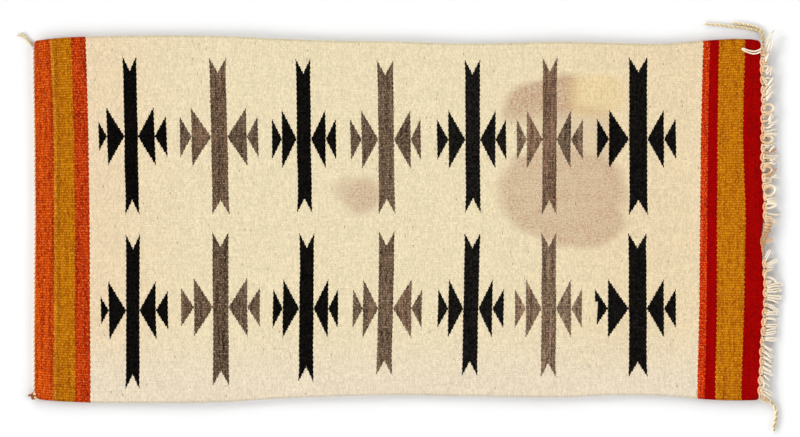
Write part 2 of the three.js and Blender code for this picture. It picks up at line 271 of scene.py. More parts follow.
# The stray warp loop on the panel, in plan.
WARP_LOOP = [
    (453.8, 212.4), (450, 210.1), (445, 208.7), (440, 209.3), (435, 210.7), (431.2, 212.2),
    (429.6, 211.7), (431.2, 210), (435, 208.2), (440, 206.4), (445, 205.7), (450, 206.9), (453.2, 209.2),
]
LOOP_RADIUS = 0.95

# The twined cord along the plain end, and its two loose ends. One is a tassel that parts in
# two, and the other a knot with frayed stubs and two pale stitches over it.
END_CORD_RADIUS = 1.3
END_CORD_SPAN = (-218, 213)
TAIL_YARN = 1.05
TAIL_LEFT = [(-456.2, 215.4), (-458.6, 218.6), (-461.3, 221.7), (-464, 224.8), (-467.2, 227.2),
             (-471.8, 228.8), (-476.6, 229.8)]
TAIL_BACK = [(-457.6, 215.2), (-459.8, 218.2), (-462.4, 221.4), (-465, 224.6), (-467.2, 228),
             (-468.3, 230.8), (-468.6, 233)]
KNOT_PLACE = (-455.0, -221.8)
KNOT_RADIUS = 2.4
KNOT_YARN = 1.4
KNOT_FLATTEN = 0.75
KNOT_LIFT = 2.0
KNOT_STUBS = [
    [(-457.5, -221.4), (-460.2, -221.2), (-463, -221.4)],
    [(-457, -219.6), (-459.6, -220.2), (-461.8, -221)],
    [(-456.8, -223), (-457.4, -224.8), (-456.8, -226.6)],
]
KNOT_STITCHES = [
    [(-455.8, -218.6), (-453.6, -219), (-451.6, -220.2)],
    [(-453.8, -221.6), (-452.8, -223.2), (-452.2, -225)],
]
STITCH_LIFT = 7.0

# Soft light from all round, and broad lamps: their bearing in plan, elevation and spread
# (degrees), and strength. Bearing 0 is the right end, 90 the back.
ROOM_LIGHT = 0.03
LAMPS = {
    "left_front_lamp": (200, 19, 16, 1.71),
    "left_back_lamp": (160, 19, 16, 1.71),
    "front_left_lamp": (240, 21, 24, 0.98),
    "back_left_lamp": (120, 21, 24, 0.98),
    "right_lamp": (0, 25, 36, 1.78),
    "front_lamp": (-90, 25, 34, 0.92),
    "back_lamp": (90, 25, 34, 0.92),
    "high_front_lamp": (-90, 52, 36, 0.1),
    "high_back_lamp": (90, 52, 36, 0.1),
}

# The floor and the camera, in metres.
FLOOR_HALF = 40.0
FLOOR_TOP = -0.0002
CAMERA_HEIGHT = 3.0

rng = np.random.default_rng(11)


# Colours and shaders

def srgb(red, green, blue):
    """A colour given in 0 to 255 screen values, as the linear colour that a shader takes."""
    def linear(value):
        value /= 255
        return value / 12.92 if value <= 0.04045 else ((value + 0.055) / 1.055) ** 2.4
    return (linear(red), linear(green), linear(blue), 1.0)


CREAM_LEFT = srgb(226, 204, 170)
CREAM_MIDDLE = srgb(226, 211, 176)
CREAM_RIGHT = srgb(224, 204, 168)
CREAM_FRONT = srgb(225, 210, 185)
CREAM_FLECK = srgb(168, 136, 98)
ORANGE_OUTER = srgb(201, 75, 8)
ORANGE_INNER = srgb(184, 53, 6)
ORANGE_RIGHT = srgb(200, 50, 6)
GOLD = srgb(185, 112, 7)
GOLD_LIGHT = srgb(212, 142, 40)
GOLD_DARK = srgb(158, 86, 8)
RED = srgb(153, 2, 2)
BLACK = srgb(7, 6, 5)
GREY_OLIVE = srgb(100, 83, 67)
GREY_BROWN = srgb(104, 81, 63)
STAIN_TINT = (0.60, 0.43, 0.41, 1.0)
YELLOW_TINT = (1.0, 0.95, 0.82, 1.0)
COTTON_TAN = srgb(231, 203, 165)
COTTON_PALE = srgb(246, 233, 211)
# The pink painted on the cotton beside the red wool, a painted reflection of the red.
COTTON_PINK_REFLECTION = srgb(232, 150, 120)
COTTON_STRAW = srgb(214, 168, 114)
COTTON_BROWN = srgb(204, 160, 118)
# The near black-brown of the tucks: painted shadow in the gaps of the heading.
COTTON_PAINTED_SHADOW = srgb(74, 46, 18)
YARNS = {
    "gold_yarn": (srgb(252, 236, 194), srgb(204, 168, 106)),
    "straw_yarn": (srgb(244, 228, 184), srgb(176, 144, 86)),
    "end_cord_yarn": (srgb(254, 228, 190), srgb(212, 126, 70)),
    "knot_yarn": (srgb(250, 204, 152), srgb(152, 72, 34)),
}
FLOOR_SHADES = ((0.88, 0.88, 0.88, 1.0), (0.9, 0.9, 0.9, 1.0))
# A warp that is brown all over, or a dark tuck that stands for painted shadow, carries one of
# these in place of how far out it lies.
ALL_BROWN, ALL_PAINTED_SHADOW = -3.0, -9.0
# How uneven each dyed wool is from bead to bead, pick to pick, streak to streak and grain to
# grain, how much painted shade darkens its grooves, how much of its hair shows on the rib
# crests as pale fibre with painted sheen, and how far its red stays as it darkens.
DYES = {
    # hair and sheen, by bead, by pick, by streak, by grain, painted groove shade, hair and sheen share,
    # keep red
    "cream": (srgb(244, 234, 208), 0.24, 0.15, 0.08, 0.36, 0.03, 0.25, 0.0),
    "orange": (srgb(244, 136, 68), 1.4, 1.7, 2.9, 2.2, 0.66, 0.8, 0.55),
    "gold": (srgb(228, 160, 52), 0.9, 1.0, 1.2, 1.3, 0.5, 0.75, 0.4),
    "red": (srgb(190, 48, 44), 0.4, 0.45, 0.5, 0.5, 0.2, 0.06, 0.0),
    "heather": (srgb(180, 154, 126), 1.4, 1.8, 3.0, 2.2, 0.36, 0.8, 0.0),
    "black": (srgb(64, 58, 52), 2.8, 2.2, 1.2, 3.2, 0.4, 0.26, 0.0),
}
DARKEST = 0.35
BLACK_LIFT = 38.0
UNFLECKED = 0.998


class Shader:
    """A material's nodes, made by short calls. An input is a number, a colour or an output."""

    def __init__(self, name):
        self.material = bpy.data.materials.new(name)
        self.material.use_nodes = True
        self.nodes = self.material.node_tree.nodes
        self.links = self.material.node_tree.links
        self.surface = self.nodes["Principled BSDF"]

    def put(self, socket, value):
        if isinstance(value, bpy.types.NodeSocket):
            self.links.new(value, socket)
        else:
            socket.default_value = value

    def node(self, kind, inputs=None, **settings):
        made = self.nodes.new("ShaderNode" + kind)
        for name, value in settings.items():
            setattr(made, name, value)
        for name, value in (inputs or {}).items():
            self.put(made.inputs[name], value)
        return made

    def math(self, operation, *values, clamp=False):
        made = self.node("Math", operation=operation, use_clamp=clamp)
        for socket, value in zip(made.inputs, values):
            self.put(socket, value)
        return made.outputs[0]

    add = partialmethod(math, "ADD")
    sub = partialmethod(math, "SUBTRACT")
    mul = partialmethod(math, "MULTIPLY")
    div = partialmethod(math, "DIVIDE")
    power = partialmethod(math, "POWER")
    most = partialmethod(math, "MAXIMUM")
    over = partialmethod(math, "GREATER_THAN")
    under = partialmethod(math, "LESS_THAN")
    size = partialmethod(math, "ABSOLUTE")

    def both(self, *tests):
        return reduce(self.mul, tests)

    def either(self, *tests):
        return reduce(self.most, tests)

    def sway(self, chance, amount):
        """A number between 0 and 1, as a change of up to half an amount either way."""
        return self.mul(self.sub(chance, 0.5), amount)

    def blend(self, share, a, b):
        """A number that goes from a to b."""
        return self.node("Mix", {"Factor": share, "A": a, "B": b}).outputs["Result"]

    def mix(self, share, a, b, how="MIX"):
        """A colour that goes from a to b."""
        made = self.node("Mix", data_type="RGBA", blend_type=how)
        colours = [socket for socket in made.inputs if socket.type == "RGBA"]
        self.put(made.inputs[0], share)
        self.put(colours[0], a)
        self.put(colours[1], b)
        return next(socket for socket in made.outputs if socket.type == "RGBA")

    def tinted(self, share, colour, tint):
        """A colour with a share of a tint over it."""
        return self.mix(share, colour, self.mix(1.0, colour, tint, "MULTIPLY"))

    def scaled(self, colour, factor, keep_red=0.0):
        """A colour made lighter or darker by a number, its red less so by a share."""
        red = self.power(factor, 1.0 - keep_red) if keep_red else factor
        grey = self.node("CombineColor", {"Red": red, "Green": factor, "Blue": factor})
        return self.mix(1.0, colour, grey.outputs[0], "MULTIPLY")

    def attribute(self, name):
        """The three numbers that the mesh carries under a name."""
        vector = self.node("Attribute", attribute_name=name).outputs["Vector"]
        return self.node("SeparateXYZ", {"Vector": vector}).outputs[:]

    def join(self, x, y, z=0.0):
        return self.node("CombineXYZ", {"X": x, "Y": y, "Z": z}).outputs[0]

    def noise(self, vector, scale, detail=2.0, roughness=0.5):
        inputs = {"Vector": vector, "Scale": scale, "Detail": detail, "Roughness": roughness}
        return self.node("TexNoise", inputs).outputs[0]

    def stretched(self, x, y, by_x, by_y, detail=2.0, roughness=0.6):
        """Noise with a scale of its own in each direction."""
        return self.noise(self.join(self.mul(x, by_x), self.mul(y, by_y)), 1.0, detail, roughness)

    def chance(self, *place):
        return self.node("TexWhiteNoise", {"Vector": self.join(*place)}).outputs["Value"]

    def smooth(self, value, low, high):
        """0 below low, 1 above high, and a soft step between."""
        inputs = {"Value": value, "From Min": low, "From Max": high}
        return self.node("MapRange", inputs, interpolation_type="SMOOTHSTEP").outputs[0]

    def bump(self, height, depth, strength):
        made = self.node("Bump", {"Height": height, "Distance": depth * MM, "Strength": strength})
        self.links.new(made.outputs[0], self.surface.inputs["Normal"])

    def finish(self, colour, roughness=0.95):
        inputs = {"Base Color": colour, "Roughness": roughness, "Specular IOR Level": 0.02}
        for name, value in inputs.items():
            self.put(self.surface.inputs[name], value)
        return self.material


def figure_masks(s, x, y):
    """1 where a figure's bar lies, 1 where its triangles lie, and a chance number for each part."""
    back_x, front_x, half_bar = s.attribute("figure_bar")
    back, front, mid = s.attribute("figure_span")
    lean = s.attribute("figure_tone")[1]
    length = s.sub(back, front)
    share = s.div(s.sub(y, front), length)
    away = s.size(s.sub(x, s.blend(share, front_x, back_x)))
    to_tip = s.math("MINIMUM", s.sub(back, y), s.sub(y, front))
    wide = s.add(half_bar, s.mul(s.smooth(to_tip, FORK, 0.0), FLARE))
    fork = s.mul(s.sub(1.0, s.div(away, wide)), FORK)
    bar = s.both(s.under(away, wide), s.over(to_tip, fork))

    middle = s.blend(s.div(s.sub(mid, front), length), front_x, back_x)
    rise = s.sub(y, mid)
    across = s.sub(s.sub(x, middle), s.mul(rise, lean))
    away = s.size(across)
    on_right = s.over(across, 0.0)
    big, small, tall = (s.blend(on_right, left, right) for left, right
                        in zip(s.attribute("figure_left"), s.attribute("figure_right")))
    height = s.size(rise)
    big_edge = s.mul(s.div(s.sub(away, half_bar), s.sub(big, half_bar)), BIG_TALL)
    big_one = s.both(s.under(away, big), s.under(height, big_edge))
    small_edge = s.mul(s.div(s.sub(away, big), s.sub(small, big)), tall)
    small_one = s.both(s.under(away, small), s.under(height, small_edge))
    part = s.mul(s.add(s.mul(on_right, 2.0), small_one), s.sub(1.0, bar))
    return bar, s.either(big_one, small_one), s.chance(part, back_x, mid)


def spot(s, x, y, at_x, at_y, half_x, half_y, squareness):
    """How far a point lies from the middle of a rounded patch, as a share of its half sizes."""
    off_x = s.power(s.div(s.size(s.sub(x, at_x)), half_x), squareness)
    off_y = s.power(s.div(s.size(s.sub(y, at_y)), half_y), squareness)
    return s.power(s.add(off_x, off_y), 1.0 / squareness)


def stain_mask(s, x, y):
    """How strongly the old spills tint the cloth."""
    wobble = s.noise(s.join(x, y), 0.03, 4.0, 0.6)
    ragged = s.noise(s.join(x, y), 0.11, 3.0, 0.6)
    cloud = s.noise(s.join(x, y), 0.07, 3.0, 0.6)
    masks = []
    for at_x, at_y, half_x, half_y, squareness, strength, *faded in STAINS:
        front, right = faded or OFF_THE_RUG
        reach = spot(s, x, y, at_x, at_y, half_x, half_y, squareness)
        reach = s.add(reach, s.add(s.sway(wobble, STAIN_WOBBLE), s.sway(ragged, STAIN_RAGGED / half_x)))
        soft = STAIN_SOFT / half_x
        inside = s.smooth(reach, 1.0 + soft, 1.0 - soft)
        rim = s.mul(s.smooth(reach, 0.55, 0.95), STAIN_RIM)
        kept = s.both(s.smooth(y, front - 18.0, front + 14.0), s.smooth(x, right + 12.0, right - 16.0))
        masks.append(s.both(inside, kept, s.add(strength, rim)))
    return s.mul(s.either(*masks), s.add(0.75, s.mul(cloud, 0.5)))


def woven_wool():
    """Weft-faced wool: beads of weft over each warp rib, in stripes, figures and ground."""
    s = Shader("woven_wool")
    u, v, _ = s.attribute("loom")
    x, y, _ = s.attribute("place")
    rib = s.math("FLOOR", v)
    odd = s.math("MODULO", rib, 2.0)
    ridge = s.math("SINE", s.mul(s.math("FRACT", v), math.pi))
    crown = s.power(ridge, 0.5)
    tooth = s.mul(s.sub(s.mul(odd, 2.0), 1.0), crown)
    beads = s.add(s.div(u, BEAD), s.mul(odd, 0.5))
    bead = s.math("FLOOR", beads)
    luck = s.chance(bead, rib)
    pick = s.stretched(u, y, 0.9, 0.022)
    streak = s.stretched(u, y, 0.28, 0.012)
    grain = s.stretched(u, y, 1.2, 1.2)
    speck = s.smooth(s.stretched(u, y, 0.4, 0.42, 3.0, 0.8), 0.3, 0.7)
    # Pale hair on the rib crests: partly the fibres' own colour, partly painted sheen.
    fluff_and_sheen = s.stretched(s.add(u, v), v, 0.5, 1.1)
    fluff_and_sheen = s.mul(s.smooth(fluff_and_sheen, 0.5, 0.72), crown)

    def dyed(yarn, colour):
        """Yarn of a colour, uneven by bead and pick, with painted shade in its grooves and hair with
        painted sheen on its crests.
        """
        hair_and_sheen, *amounts, painted_groove_shade, hair_and_sheen_share, keep_red = DYES[yarn]
        change = reduce(s.add, map(s.sway, (luck, pick, streak, grain), amounts))
        # Painted shade: each yarn is darkened towards the groove between two ribs.
        shade = s.sub(1.0, s.mul(s.sub(1.0, ridge), painted_groove_shade))
        body = s.scaled(colour, s.mul(shade, s.most(s.add(change, 1.0), DARKEST)), keep_red)
        return s.mix(s.mul(fluff_and_sheen, hair_and_sheen_share), body, hair_and_sheen)

    # Where each colour of weft lies
    at = WEFT_LINE_AT

    def between(place, first, last):
        return s.both(s.over(place, at[first]), s.under(place, at[last]))

    fine_u = s.add(u, s.mul(tooth, FINE_TOOTH))
    ground = between(fine_u, "orange_cream", "cream_orange")
    left_gold = between(fine_u, "orange_gold", "gold_orange")
    right_gold = between(s.add(u, s.mul(tooth, BOLD_TOOTH)), "red_gold", "gold_red")
    is_red = s.over(fine_u, at["orange_red"])
    drift = s.sway(s.noise(s.join(x, y), 0.02, 1.0), FIGURE_DRIFT)
    half_step = s.mul(s.sub(s.add(rib, 0.5), v), WARP_PITCH * 0.75)
    figure_x = s.add(s.add(x, s.mul(tooth, FIGURE_TOOTH)), drift)
    bar, triangles, part = figure_masks(s, figure_x, s.add(y, half_step))
    figures = s.either(bar, s.both(triangles, ground))

    # The yarns
    left_turn, right_turn, front_turn = CREAM_TURNS
    cream = s.mix(s.smooth(u, *left_turn), CREAM_LEFT, CREAM_MIDDLE)
    cream = s.mix(s.smooth(u, *right_turn), cream, CREAM_RIGHT)
    cream = s.mix(s.smooth(y, *front_turn), cream, CREAM_FRONT)
    fleck = s.over(s.chance(rib, bead, 3.7), UNFLECKED)
    cream = dyed("cream", s.mix(s.mul(fleck, 0.75), cream, CREAM_FLECK))
    inner = s.over(u, at["gold_orange"])
    orange = s.mix(inner, ORANGE_OUTER, ORANGE_INNER)
    orange = s.mix(s.over(u, 0.0), orange, ORANGE_RIGHT)
    off_middle = s.size(s.sub(u, s.blend(inner, *ORANGE_MIDDLES)))
    # Painted shade: each left orange stripe is darkened towards its two sides.
    painted_side_shade = s.both(s.smooth(off_middle, 4.0, 12.0), s.under(u, 0.0))
    orange = dyed("orange", s.scaled(orange, s.sub(1.0, s.mul(painted_side_shade, 0.4)), 0.5))
    start = s.sub(u, at["orange_gold"])
    light_line = s.both(s.under(start, LIGHT_LINE_END), left_gold)
    dark_line = s.both(s.over(start, LIGHT_LINE_END), s.under(start, DARK_LINE_END), left_gold)
    gold = s.mix(s.mul(light_line, 0.5), GOLD, GOLD_LIGHT)
    gold = s.mix(s.mul(dark_line, s.mul(s.smooth(pick, 0.35, 0.6), 0.7)), gold, GOLD_DARK)
    gold = dyed("gold", gold)
    red = dyed("red", RED)
    tone, _, sides = s.attribute("figure_tone")
    own_tone = s.mul(tone, s.blend(bar, s.mul(sides, s.add(0.9, s.mul(part, 0.18))), 1.0))
    banded = s.stretched(u, y, 0.2, 0.006, 1.0, 0.5)
    own_tone = s.mul(own_tone, s.add(0.4, s.mul(banded, 1.2)))
    heather = dyed("heather", s.scaled(s.mix(part, GREY_OLIVE, GREY_BROWN), own_tone))
    black = dyed("black", s.scaled(BLACK, s.add(1.0, s.mul(tone, BLACK_LIFT))))
    wool = s.mix(s.over(tone, BLACK_TONE), black, heather)

    # The cloth
    colour = s.mix(ground, orange, cream)
    colour = s.mix(is_red, colour, red)
    colour = s.mix(s.either(left_gold, right_gold), colour, gold)
    colour = s.mix(figures, colour, wool)
    stain = s.mul(stain_mask(s, x, y), s.add(-0.25, s.add(s.mul(luck, 1.1), s.mul(speck, 1.4))))
    stain = s.mul(stain, s.sub(1.0, s.mul(figures, 0.6)))
    colour = s.tinted(s.both(stain, ground), colour, STAIN_TINT)
    yellow = s.smooth(spot(s, x, y, *YELLOWING), 1.15, 0.7)
    colour = s.tinted(s.both(yellow, ground), colour, YELLOW_TINT)
    # Painted shade: the wool is darker along the back and front edges, where the rounded rim turns down.
    painted_edge_shade = s.smooth(s.math("MINIMUM", v, s.sub(float(RIBS), v)), 1.3, 0.2)
    colour = s.scaled(colour, s.sub(1.0, s.mul(painted_edge_shade, 0.22)))

    # The rounded beads and their fibres
    along = s.sub(s.mul(s.math("FRACT", beads), 2.0), 1.0)
    dome = s.math("SQRT", s.sub(1.0, s.mul(along, along), clamp=True))
    fibre = s.stretched(u, v, 5.0, 4.0, 3.0, 0.65)
    s.bump(s.add(s.mul(dome, crown), s.mul(fibre, 0.5)), 0.25, 0.7)
    return s.finish(colour)


def fibrous(s, colour, pitch, contrast, painted_groove_shade, shut, relief, strength):
    """Finishes a yarn of a colour: its fibres, their relief and painted shade between its plies."""
    along, around, seed = s.attribute("yarn")
    depth = s.attribute("ply")[2]
    fibre = s.noise(s.join(s.mul(along, pitch), s.mul(around, 3.0), seed), 2.0, 3.0, 0.7)
    colour = s.scaled(colour, s.add(1.0 - contrast / 2, s.mul(fibre, contrast)))
    # Painted shade: darker where the skin lies near the yarn's axis, in the crevices between plies.
    colour = s.scaled(colour, s.add(1.0 - painted_groove_shade, s.mul(s.smooth(depth, shut, 1.0), painted_groove_shade)))
    s.bump(fibre, relief, strength)
    return s.finish(colour)


def yarn_material(name, shades):
    """Twisted yarn of two shades, by ply and by chance."""
    s = Shader(name)
    along, _, seed = s.attribute("yarn")
    ply = s.attribute("ply")[1]
    run = s.noise(s.join(s.mul(along, 0.12), seed), 1.0, 2.0)
    share = s.add(s.mul(ply, 0.7), s.sway(run, 1.2), clamp=True)
    return fibrous(s, s.mix(share, *shades), pitch=1.6, contrast=0.44, painted_groove_shade=0.65, shut=0.2,
                   relief=0.18, strength=0.6)


def cotton_material():
    """Old cotton warp: cream string, tan in its knots and pink beside the red wool, a painted reflection
    of the red.
    """
    s = Shader("warp_cotton")
    along, _, seed = s.attribute("yarn")
    out, tan, _ = s.attribute("ply")
    run = s.noise(s.join(s.mul(along, 0.15), seed), 1.0, 2.0)
    far = s.add(s.mul(out, s.sub(1.0, s.mul(tan, 0.85))), s.mul(run, 5.0))
    colour = s.mix(s.smooth(far, 3.5, 9.0), COTTON_TAN, COTTON_PALE)
    straw = s.mul(s.smooth(s.chance(seed, 1.0), 0.35, 1.0), s.smooth(far, 9.0, 3.0))
    colour = s.mix(s.mul(straw, 0.8), colour, COTTON_STRAW)
    # Painted reflection: the cotton is tinted pink where it lies less than 1.5 mm out of the red wool.
    colour = s.mix(s.mul(s.smooth(out, 1.5, -0.5), 0.8), colour, COTTON_PINK_REFLECTION)
    colour = s.mix(s.under(out, ALL_BROWN + 0.5), colour, COTTON_BROWN)
    # Painted shadow: the tucks between scallops are coloured near black-brown.
    colour = s.mix(s.under(out, ALL_PAINTED_SHADOW + 4.0), colour, COTTON_PAINTED_SHADOW)
    return fibrous(s, colour, pitch=1.8, contrast=0.6, painted_groove_shade=0.4, shut=0.3, relief=0.15, strength=0.5)


# Meshes

def put_in_scene(name, data):
    """A new object of a mesh, a light or a camera."""
    obj = bpy.data.objects.new(name, data)
    bpy.context.scene.collection.objects.link(obj)
    return obj


def make_object(name, points, faces, material, points_data, faces_data=None):
    """A smooth mesh object from points in millimetres, with vectors on its points and faces."""
    mesh = bpy.data.meshes.new(name)
    mesh.from_pydata((np.asarray(points) * MM).tolist(), [], faces)
    for domain, data in (("POINT", points_data), ("FACE", faces_data or {})):
        for key, values in data.items():
            layer = mesh.attributes.new(key, "FLOAT_VECTOR", domain)
            layer.data.foreach_set("vector", np.asarray(values, np.float32).ravel())
    mesh.polygons.foreach_set("use_smooth", np.ones(len(mesh.polygons), bool))
    mesh.materials.append(material)
    return put_in_scene(name, mesh)


def quads(grid):
    """The four corners of each cell of a grid, in order round it."""
    corners = [grid[:-1, :-1], grid[:-1, 1:], grid[1:, 1:], grid[1:, :-1]]
    return np.stack(corners, axis=2).reshape(-1, 4, *grid.shape[2:])


def even(points, shares):
    """Points along a polyline at shares of its length."""
    steps = np.linalg.norm(np.diff(points, axis=0), axis=1)
    run = np.concatenate([[0], np.cumsum(steps)]) / steps.sum()
    return np.stack([np.interp(shares, run, column) for column in points.T], axis=1)


def waves(x, y, pitch, seed):
    """A smooth uneven field between about -1 and 1, with hills a pitch or so apart."""
    draw = np.random.default_rng(seed)
    total = np.zeros_like(x)
    for _ in range(5):
        angle, phase = draw.uniform(0, 2 * math.pi, 2)
        stride = pitch * draw.uniform(0.7, 1.5)
        total += np.sin((x * math.cos(angle) + y * math.sin(angle)) * 2 * math.pi / stride + phase)
    return total / 3.5


def panel_edges():
    """The plan of the panel's front, right, back and left edges, as the frame has them."""
    points = np.array([vertex.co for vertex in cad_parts["panel"].data.vertices]) / MM
    middle = np.abs(points[:, 2] - THICKNESS / 2) < THICKNESS / 4
    rim = np.unique(points[middle][:, :2].round(3), axis=0)
    begin, swell = RIGHT_SWELL
    rim[:, 0] += swell * np.clip((rim[:, 0] - begin) / (rim[:, 0].max() - begin), 0, 1)
    rim = rim[np.argsort(np.arctan2(rim[:, 1], rim[:, 0]))]
    total, slope = rim.sum(axis=1), rim[:, 0] - rim[:, 1]
    corners = [total.argmin(), slope.argmax(), total.argmax(), slope.argmin()]
    edges = []
    for first, last in zip(corners, corners[1:] + corners[:1]):
        count = (last - first) % len(rim)
        edges.append(rim[(first + np.arange(count + 1)) % len(rim)])
    front, right, back, left = edges
    return front, right, back[::-1], left[::-1]


FRONT, RIGHT, BACK, LEFT = panel_edges()


def right_at(y):
    return np.interp(y, *RIGHT.T[::-1])


def left_at(y):
    return np.interp(y, *LEFT.T[::-1])


def gap_under(x, y):
    """How far the underside of the cloth is off the floor at a place in plan."""
    inset = {"right": right_at(y) - x, "left": x - left_at(y),
             "back": np.interp(x, *BACK.T) - y, "front": y - np.interp(x, *FRONT.T)}
    total = 0.0
    for edge, (height, width) in RISE.items():
        bump = height * np.exp(-(np.maximum(inset[edge], 0) / width) ** 2)
        total = total + bump ** 3
    return np.cbrt(total) * (1.0 + 0.12 * waves(x, y, 150, 3))


def cloth_plan(along, across):
    """Plan points at shares along and across the cloth, as an array across by along."""
    s, t = along[None, :, None], across[:, None, None]
    front, back = even(FRONT, along)[None], even(BACK, along)[None]
    left, right = even(LEFT, across)[:, None], even(RIGHT, across)[:, None]
    corners = (1 - s) * ((1 - t) * FRONT[0] + t * BACK[0]) + s * ((1 - t) * FRONT[-1] + t * BACK[-1])
    return (1 - t) * front + t * back + (1 - s) * left + s * right - corners


def loom_place(x, y):
    """How far along the loom a point of the cloth was woven, undoing the drift of the weft lines."""
    stations = [across for across, _ in WEFT_LINE_RUN]
    lines = [np.interp(y, stations, places) for places in zip(*(row for _, row in WEFT_LINE_RUN))]
    here = np.stack([left_at(y), *lines, right_at(y)])
    woven = [float(LEFT[:, 0].mean()), *WEFT_LINE_AT.values(), float(RIGHT[:, 0].mean())]
    return np.array([np.interp(x[i], here[:, i], woven) for i in range(len(x))])


def figure_data(x, y):
    """The sizes of the figure nearest to each face, for the shader."""
    table = dict(zip(FIGURE_COLUMNS, np.array(FIGURES).T))
    middle_x = (table["back_x"] + table["front_x"]) / 2
    middle_y = (table["back"] + table["front"]) / 2
    apart = (np.abs(x[:, None] - middle_x) / 50) ** 2 + (np.abs(y[:, None] - middle_y) / 100) ** 2
    nearest = apart.argmin(axis=1)

    def columns(*names):
        return np.stack([table[name][nearest] for name in names], axis=1)

    return {
        "figure_bar": columns("back_x", "front_x", "half_bar"),
        "figure_span": columns("back", "front", "mid"),
        "figure_left": columns("left_big", "left_small", "left_tall"),
        "figure_right": columns("right_big", "right_small", "right_tall"),
        "figure_tone": columns("tone", "lean", "sides"),
    }


def make_panel(material):
    """The cloth: ribbed on both faces, closed by a rounded rim, lying almost flat."""
    rows = RIBS * RIB_SAMPLES + 1
    across = np.linspace(0, 1, rows)
    ends = np.array([0.0, 0.0009, 0.003])
    along = np.concatenate([ends, np.linspace(0.012, 0.988, PANEL_COLUMNS - 6), 1 - ends[::-1]])
    plan = cloth_plan(along, across)
    x, y = plan[..., 0], plan[..., 1]
    swell = np.abs(np.sin(math.pi * ((across * RIBS) % 1.0)))[:, None] ** RIB_ROUNDNESS
    end_sink = np.interp(np.minimum(along, 1 - along), ends, [THICKNESS / 2, 0.35, 0])
    sink = np.maximum(RIB_RELIEF * (1 - swell), end_sink)
    sink += 0.12 * (1 + waves(x, y, 30, 5)) * swell
    inner = np.zeros(x.shape, bool)
    inner[1:-1, 1:-1] = True
    sink[~inner] = THICKNESS / 2
    gap = gap_under(x, y)
    top, under = np.dstack([x, y, gap + THICKNESS - sink]), np.dstack([x, y, gap + sink])

    grid = np.arange(x.size).reshape(x.shape)
    under_grid = grid.copy()
    under_grid[inner] = x.size + np.arange(inner.sum())
    points = np.concatenate([top.reshape(-1, 3), under[inner]])
    faces = np.concatenate([quads(grid), quads(under_grid)[:, ::-1]])
    u = loom_place(points[:, 0], points[:, 1])
    ribs = np.repeat(across * RIBS, len(along))
    v = np.concatenate([ribs, ribs[inner.ravel()]])
    middles = points[faces].mean(axis=1)
    obj = make_object(
        "rug_cloth", points, faces.tolist(), material,
        {"loom": np.stack([u, v, 0 * u], axis=1), "place": points * (1, 1, 0)},
        figure_data(middles[:, 0], middles[:, 1]))
    bake_map(obj, along, across)
    return obj


def bake_map(obj, along, across):
    """Lays the upper face over most of the map and the underside below it."""
    top_share = 0.7
    gap = 0.004
    cells = quads(np.dstack(np.meshgrid(along, across)))
    top = cells * (1 - 2 * gap, top_share - 2 * gap) + (gap, 1 - top_share + gap)
    under = cells[:, ::-1] * (1 - 2 * gap, 1 - top_share - 2 * gap) + gap
    layer = obj.data.uv_layers.new(name="OFBake")
    layer.data.foreach_set("uv", np.concatenate([top, under]).astype(np.float32).ravel())


def carried_frame(line):
    """Two directions square to a line and to each other, carried along it without twist."""
    tangent = np.gradient(line, axis=0)
    tangent /= np.linalg.norm(tangent, axis=1, keepdims=True)
    first = np.array([0.0, 0.0, 1.0]) if abs(tangent[0, 2]) < 0.9 else np.array([1.0, 0.0, 0.0])
    side = np.empty_like(line)
    last = np.cross(first, tangent[0])
    for i, ahead in enumerate(tangent):
        last = last - last.dot(ahead) * ahead
        last = last / np.linalg.norm(last)
        side[i] = last
    return side, np.cross(tangent, side)


class YarnPile:
    """Yarns gathered into one mesh, with what their shader needs."""

    def __init__(self):
        self.points, self.faces, self.yarn, self.ply = [], [], [], []
        self.count = 0

    def add(self, path, radius, lay, plies=2, sides=6, out=0.0, first=0.0):
        """A yarn of twisted plies along a path. Out is how far it lies out of the rug's edge, as
        a number or a function of place, and first is the shade of its first ply."""
        path = np.asarray(path, float)
        length = np.linalg.norm(np.diff(path, axis=0), axis=1).sum()
        steps = max(6, int(length / min(0.9 * radius, lay / 8)))
        line = even(path, np.linspace(0, 1, steps + 1))
        along = np.linspace(0, length, steps + 1)
        side, up = carried_frame(line)
        seed = rng.uniform(0, 100)
        start = rng.uniform(0, 2 * math.pi)
        taper = np.clip(np.minimum(along, length - along) / (0.9 * radius), 0.35, 1.0)
        ply_radius = radius * (0.58 if plies > 1 else 1.0)
        offset = radius - ply_radius
        ring = np.linspace(0, 2 * math.pi, sides, endpoint=False)
        round_it = ring[None, :, None]
        spoke = np.cos(round_it) * side[:, None] + np.sin(round_it) * up[:, None]
        whole = np.ones((steps + 1, sides))
        for k in range(plies):
            turn = start + 2 * math.pi * (k / plies + along / lay)
            heart = line + offset * (np.cos(turn)[:, None] * side + np.sin(turn)[:, None] * up)
            skin = heart[:, None] + (ply_radius * taper)[:, None, None] * spoke
            away = np.linalg.norm(skin - line[:, None], axis=2) / radius
            reach = out(skin[..., 0], skin[..., 1]) if callable(out) else out * whole
            grid = self.count + np.arange(whole.size).reshape(whole.shape)
            self.faces += quads(np.column_stack([grid, grid[:, 0]])).tolist()
            self.faces += [grid[0][::-1].tolist(), grid[-1].tolist()]
            self.points.append(skin.reshape(-1, 3))
            yarn = [along[:, None] * whole, ring * whole, (seed + k) * whole]
            self.yarn.append(np.dstack(yarn).reshape(-1, 3))
            self.ply.append(np.dstack([reach, (first + k) % 2 * whole, away]).reshape(-1, 3))
            self.count += whole.size

    def lay_flat(self, plans, height, count, radius, lay, **more):
        """Yarns through plan points, all at one height."""
        for plan in plans:
            self.add(curved(level(plan, height), count), radius, lay, **more)

    def make(self, name, material):
        data = {"yarn": np.concatenate(self.yarn), "ply": np.concatenate(self.ply)}
        return make_object(name, np.concatenate(self.points), self.faces, material, data)


